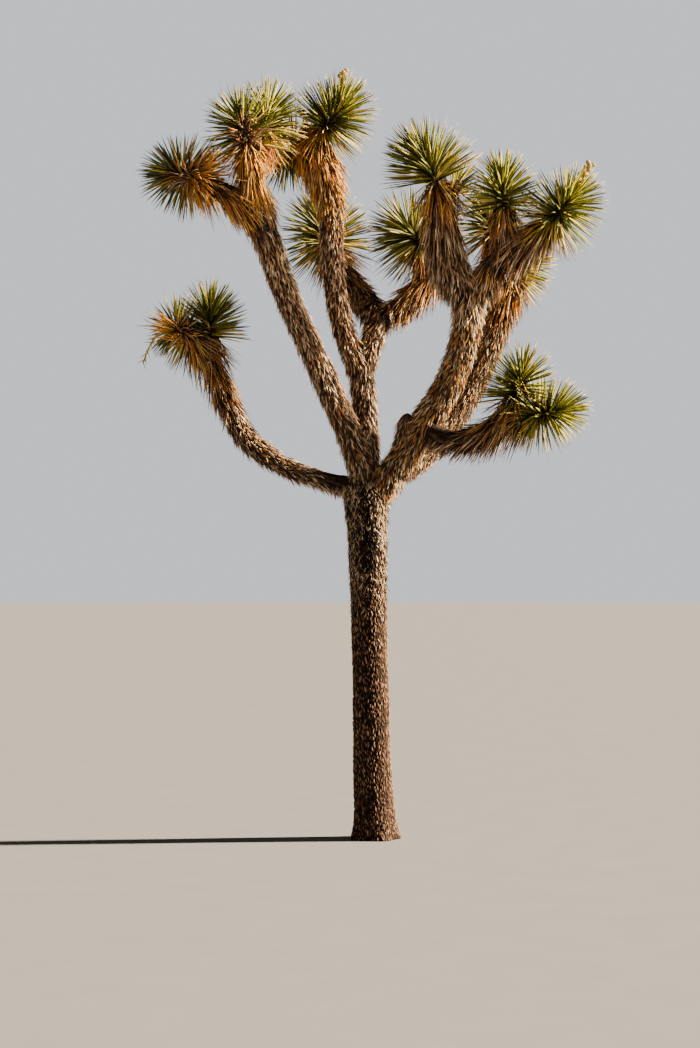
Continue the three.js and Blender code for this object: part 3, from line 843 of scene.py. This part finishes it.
def principled(name, roughness, specular):
    material = bpy.data.materials.new(name)
    material.use_nodes = True
    tree = material.node_tree
    shader = tree.nodes["Principled BSDF"]
    shader.inputs["Roughness"].default_value = roughness
    shader.inputs["Specular IOR Level"].default_value = specular
    return material, tree, shader


def ramp(tree, factor, stops):
    node = add_node(tree, "ValToRGB", Fac=factor)
    ends = node.color_ramp.elements
    while len(ends) < len(stops):
        ends.new(0.5)
    for end, (place, colour) in zip(ends, stops):
        end.position = place
        end.color = (*colour, 1)
    return node.outputs["Color"]


def mixed(tree, factor, first, second):
    return add_node(tree, "Mix", {"data_type": "RGBA"}, i0=factor, i6=first, i7=second).outputs[2]


def cover(tree, shader, colour, height, strength, distance):
    """Gives a shader its colour, and the bumps that a height makes."""
    tree.links.new(colour, shader.inputs["Base Color"])
    lumps = add_node(tree, "Bump", Height=height, Strength=strength, Distance=distance)
    tree.links.new(lumps.outputs["Normal"], shader.inputs["Normal"])


def blade_material(name, colour, other, root, tip, roughness, specular, bump, base_and_shade_to=0.3):
    """A leaf's finish: its colour shifts to other from leaf to leaf, and to root and tip at its ends. On
    the thatch kinds the near-black root colour is painted shadow where the dead leaves overlap; on the
    rosettes' leaves and the pods it is their own colour at the base.
    """
    material, tree, shader = principled(name, roughness, specular)
    uv = add_node(tree, "UVMap", {"uv_map": "blade"}).outputs["UV"]
    grain = add_node(tree, "Group", {"node_tree": STREAKS}, Coordinates=uv, Across=70.0, Along=1.6)
    body = ramp(tree, grain.outputs["Tone"], [(0.3, colour), (0.7, other)])
    along = add_node(tree, "SeparateXYZ", Vector=uv).outputs["Y"]
    # On dead leaves a longer share at the root takes their near-black root colour, painted shadow where
    # they overlap.
    root_base_and_shade = add_node(tree, "MapRange", Value=along, From_Max=base_and_shade_to, To_Min=1.0, To_Max=0.0)
    near_tip = add_node(tree, "MapRange", Value=along, From_Min=0.8, To_Min=0.0, To_Max=1.0)
    with_base_and_shade = mixed(tree, root_base_and_shade.outputs[0], body, (*root, 1))
    tipped = mixed(tree, near_tip.outputs[0], with_base_and_shade, (*tip, 1))
    cover(tree, shader, tipped, grain.outputs["Fibre"], bump, 0.002)
    return material


def bark_material(name, deep_shade, face, ridge, grain_scale, mottle):
    """Bark that is pale on its ridges and dark in its fissures, with a grain along it. The fissures have
    their own darker colour with painted shade over it, down to near black.
    """
    material, tree, shader = principled(name, 0.93, 0.18)
    place = add_node(tree, "TexCoord").outputs["Object"]
    relief_and_shade = add_node(tree, "Attribute", {"attribute_name": "relief_and_shade"}).outputs["Fac"]
    grain = add_node(tree, "Group", {"node_tree": STREAKS}, Coordinates=place, Across=grain_scale,
                     Along=grain_scale / 4)
    uneven = add_node(tree, "Math", {"operation": "MULTIPLY_ADD"}, i0=grain.outputs["Tone"], i1=mottle,
                      i2=-mottle / 2)
    height = add_node(tree, "Math", {"operation": "ADD", "use_clamp": True}, i0=uneven.outputs[0],
                      i1=relief_and_shade)
    # Painted shade: the colours run from near black in the fissures through a dimmed plate colour to the
    # plates and their paler ridges.
    painted_shade = tuple(channel * 0.45 for channel in face)
    stops = [(0.24, deep_shade), (0.48, painted_shade), (0.69, face), (0.92, ridge)]
    cover(tree, shader, ramp(tree, height.outputs[0], stops), grain.outputs["Fibre"], 0.6, 0.004)
    return material


# Dry flower stalks

def add_pod(bm, random):
    """A plump three-sided pod, and how far off the stem its middle is."""
    length = random.uniform(27, 38) * MM
    off = random.uniform(0.01, 0.027)
    made = bmesh.ops.create_uvsphere(bm, u_segments=9, v_segments=7, radius=0.5)
    for vert in made["verts"]:
        swell = 1 + 0.22 * cos(3 * atan2(vert.co.y, vert.co.x))
        vert.co = Vector((vert.co.x * swell * 0.72, vert.co.y * swell * 0.72, vert.co.z)) * length
    return made["verts"], off


def add_twig(bm, random):
    """A bare twig, a thin square spike, and how far off the stem its middle is."""
    length = random.uniform(35, 75) * MM
    made = bmesh.ops.create_cone(bm, cap_ends=True, segments=4, radius1=3.2 * MM, radius2=1.2 * MM,
                                 depth=length)
    return made["verts"], length * 0.48


# What stands off a stalk: how it is made, how many, from which share on, how far forward, and its droop
PODS = (add_pod, 20, 0.4, (0.1, 0.9), 0.0)
TWIGS = (add_twig, 16, 0.3, (0.2, 1.0), 0.3)


def dress_stalk(bm, path, random, add_one, count, first, forward, droop):
    for number in range(count):
        share = first + (1 - first) * number / (count - 1)
        ahead = path.ahead(share)
        outward = outward_at(ahead, np.array([number * GOLDEN_ANGLE]))[0]
        way = unit(outward + ahead * random.uniform(*forward) - UP * droop)
        verts, off = add_one(bm, random)
        turn = Vector(way).to_track_quat("Z", "Y").to_matrix().to_4x4()
        turn.translation = path.spot(share) + way * off
        bmesh.ops.transform(bm, matrix=turn, verts=verts)


def stalk_mesh(name, piece):
    """A thin bent stem with pods, or with bare twigs."""
    middle, top = (np.array(spot) * MM for spot in piece.stalk)
    random = np.random.default_rng(STALK_SEED + piece.seed)
    start, tip = piece.path.spot(0.9), piece.path.spot(1.0)
    bend, end = tip + middle, tip + top
    path = Path(start, unit(bend - start), end, unit(end - bend), (0.45, 0.4))

    def ridged(share, angle, centre):
        return (9 - 4.5 * share) * MM * (1 + 0.12 * np.sin(3 * angle)), 0 * share

    mesh = tube(name, path, ridged, 9, np.linspace(0, 1, 16))
    bm = bmesh.new()
    bm.from_mesh(mesh)
    dress_stalk(bm, path, random, *(PODS if piece.pods else TWIGS))
    for face in bm.faces:
        face.smooth = True
    bm.to_mesh(mesh)
    bm.free()
    return mesh


# The camera, floor and light

CAMERA_SPOT = Vector((-0.15, -15.0, 1.77))
CAMERA_AIM = Vector((-0.15, 0.0, 1.884))
CAMERA_LENS, SENSOR_WIDTH = 85.9, 36
FLOOR_RADIUS = 60
FLOOR_PAPER = ((0.155, 0.161, 0.183), (0.165, 0.171, 0.193))
WARM_SKY, PALE_SKY = (1.0, 0.88, 0.80, 1), (0.86, 0.90, 0.96, 1)
SKY_ON_TREE, SKY_BEHIND = 0.12, 0.9


def put_in(name, data):
    """A new object in the scene."""
    thing = bpy.data.objects.new(name, data)
    bpy.context.scene.collection.objects.link(thing)
    return thing


def aim(thing, target):
    thing.rotation_euler = (target - thing.location).to_track_quat("-Z", "Y").to_euler()


def add_camera():
    data = bpy.data.cameras.new("camera")
    data.lens = CAMERA_LENS
    data.sensor_width = SENSOR_WIDTH
    data.clip_end = 200
    camera = put_in("camera", data)
    camera.location = CAMERA_SPOT
    aim(camera, CAMERA_AIM)
    bpy.context.scene.camera = camera


def add_light(name, kind, spot, target, energy, colour, size, spread=180):
    """A light at a spot that looks at target. size is in degrees for the sun and in metres for an area."""
    data = bpy.data.lights.new(name, kind)
    data.energy = energy
    data.color = colour
    if kind == "SUN":
        data.angle = radians(size)
    else:
        data.shape = "DISK"
        data.size = size
        data.spread = radians(spread)
    light = put_in(name, data)
    light.location = spot
    aim(light, Vector(target))


def add_studio():
    add_light("key", "SUN", (11.0, 1.2, 8.0), (0, 0, 2.4), 38.0, (1.0, 0.80, 0.53), 2.5)
    add_light("fill", "AREA", (-3, -12, 5), (0, 0, 2.6), 82, (1.0, 0.93, 0.87), 6)
    add_light("crown_light", "AREA", (7, -7.5, 5.4), (0.1, -0.2, 3.9), 13, (1.0, 0.82, 0.58), 1.2, 22)
    add_sky()
    add_floor()


def add_sky():
    """Faint and warm on the tree, and pale where the camera sees it."""
    world = bpy.data.worlds.new("studio")
    world.use_nodes = True
    tree = world.node_tree
    seen = add_node(tree, "LightPath").outputs["Is Camera Ray"]
    strength = add_node(tree, "MapRange", Value=seen, To_Min=SKY_ON_TREE, To_Max=SKY_BEHIND)
    tint = mixed(tree, seen, WARM_SKY, PALE_SKY)
    backdrop = tree.nodes["Background"].inputs
    tree.links.new(tint, backdrop["Color"])
    tree.links.new(strength.outputs[0], backdrop["Strength"])
    bpy.context.scene.world = world


def add_floor():
    bm = bmesh.new()
    bmesh.ops.create_circle(bm, cap_ends=True, segments=96, radius=FLOOR_RADIUS)
    floor = put_in("floor", mesh_from(bm, "floor"))
    material, tree, shader = principled("floor_paper", 0.9, 0.2)
    place = add_node(tree, "TexCoord").outputs["Object"]
    speckle = add_node(tree, "TexNoise", Vector=place, Scale=3.0, Detail=3.0)
    paper = ramp(tree, speckle.outputs["Fac"], list(zip((0.3, 0.7), FLOOR_PAPER)))
    tree.links.new(paper, shader.inputs["Base Color"])
    floor.data.materials.append(material)


# Putting it together

def add_piece(mesh, material, nodes):
    mesh.materials.append(material)
    piece = put_in(mesh.name, mesh)
    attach(piece, "root")
    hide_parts(*nodes)


add_camera()
add_studio()
boughs, heads = list(LIMBS)[1:], list(ROSETTES)

# The first colour of each bark, near black, is painted shade in its fissures and grooves over their own
# darker colour.
FISSURE_SHADE = (0.004, 0.002, 0.0015)
trunk_bark = bark_material("trunk_bark", FISSURE_SHADE, (0.13, 0.065, 0.038), (0.34, 0.213, 0.142), 150.0, 0.6)
# The bough and shoot cores are a dark brown of their own, kept near black so that the gaps between their
# dead leaves read as painted shadow.
bough_bark_and_shade = bark_material("bough_bark_and_shade", FISSURE_SHADE, (0.048, 0.027, 0.016), (0.14, 0.086, 0.054), 110.0, 0.9)
stub_bark = bark_material("stub_bark", (0.012, 0.006, 0.004), (0.13, 0.07, 0.04), (0.3, 0.18, 0.11), 110.0,
                          0.9)
add_piece(trunk_mesh(GROWN["trunk"]), trunk_bark, ["trunk"])
for name in boughs:
    add_piece(bough_mesh(name + "_core", GROWN[name], CORE_SHARE), bough_bark_and_shade, [name])
for name in boughs:
    if GROWN[name].stub:
        add_piece(stub_mesh(name + "_stub", stub_piece(GROWN[name])), stub_bark, [name])
for name in heads:
    add_piece(bough_mesh(name + "_shoot", GROWN[name], SHOOT_SHARE, 0.97), bough_bark_and_shade, [name])

lay_trunk_remains(GROWN["trunk"])
lay_thatch(GROWN["trunk"], ["trunk"], first=0.88)
for name in boughs:
    lay_thatch(GROWN[name], GROWN[name].joined)
    if GROWN[name].stub:
        lay_thatch(stub_piece(GROWN[name]), [name], last=0.98)
for name in heads:
    lay_thatch(GROWN[name], [name], 0.12, 1 - 0.8 * GROWN[name].crown)
for name in heads:
    leaf_rosette(GROWN[name])

# Each kind: colour, the colour that some leaves shift to, root, tip, roughness, specular. The thatch kinds'
# near-black roots are painted shadow where the dead leaves overlap.
FINISHES = {
    "dry_pods": ((0.5, 0.37, 0.09), (0.74, 0.58, 0.19), (0.42, 0.28, 0.07), (0.74, 0.58, 0.19), 0.8, 0.25),
    "dark_thatch": ((0.036, 0.018, 0.011), (0.09, 0.047, 0.026), (0.006, 0.003, 0.002),
        (0.12, 0.07, 0.042), 0.9, 0.15),
    "grey_thatch": ((0.294, 0.195, 0.128), (0.475, 0.337, 0.228), (0.024, 0.013, 0.008),
        (0.513, 0.38, 0.266), 0.88, 0.2),
    "pale_thatch": ((0.68, 0.5, 0.32), (0.86, 0.68, 0.46), (0.06, 0.036, 0.022),
        (0.88, 0.72, 0.51), 0.85, 0.25),
    "brown_thatch": ((0.24, 0.11, 0.046), (0.4, 0.198, 0.085), (0.018, 0.008, 0.004),
        (0.48, 0.27, 0.13), 0.88, 0.2),
    "rust_thatch": ((0.4, 0.14, 0.03), (0.58, 0.24, 0.052), (0.026, 0.011, 0.005),
        (0.6, 0.28, 0.07), 0.9, 0.12),
    "golden_thatch": ((0.66, 0.31, 0.045), (0.86, 0.47, 0.085), (0.05, 0.022, 0.006),
        (0.86, 0.52, 0.12), 0.88, 0.15),
    "straw_leaves": ((0.48, 0.33, 0.055), (0.64, 0.47, 0.105), (0.16, 0.1, 0.03),
        (0.4, 0.25, 0.1), 0.6, 0.3),
    "dark_green_leaves": ((0.028, 0.037, 0.0063), (0.058, 0.07, 0.011), (0.08, 0.07, 0.018),
        (0.172, 0.12, 0.045), 0.5, 0.3),
    "green_leaves": ((0.078, 0.094, 0.0094), (0.145, 0.155, 0.0148), (0.14, 0.12, 0.024),
        (0.258, 0.172, 0.06), 0.5, 0.3),
    "bright_green_leaves": ((0.208, 0.22, 0.0165), (0.345, 0.32, 0.033), (0.22, 0.19, 0.037),
        (0.33, 0.23, 0.07), 0.5, 0.3),
}
for kind, batches in FOLIAGE.items():
    leafy = kind.endswith("leaves")
    # Bump, and the share at the root that takes the root colour: longer on dead leaves, for painted shadow.
    material = blade_material(kind, *FINISHES[kind], *((0.25, 0.3) if leafy else (0.6, 0.6)))
    nodes = heads if leafy else boughs + heads + ["trunk"]
    for number, group in enumerate(in_pieces(batches)):
        mesh = blade_mesh(f"{kind}_{number + 1}", group)
        add_piece(mesh, material, nodes)

pods = blade_material("dry_pods", *FINISHES["dry_pods"], 0.5)
for name in heads:
    if GROWN[name].stalk:
        add_piece(stalk_mesh(name + "_stalk", GROWN[name]), pods, [name])
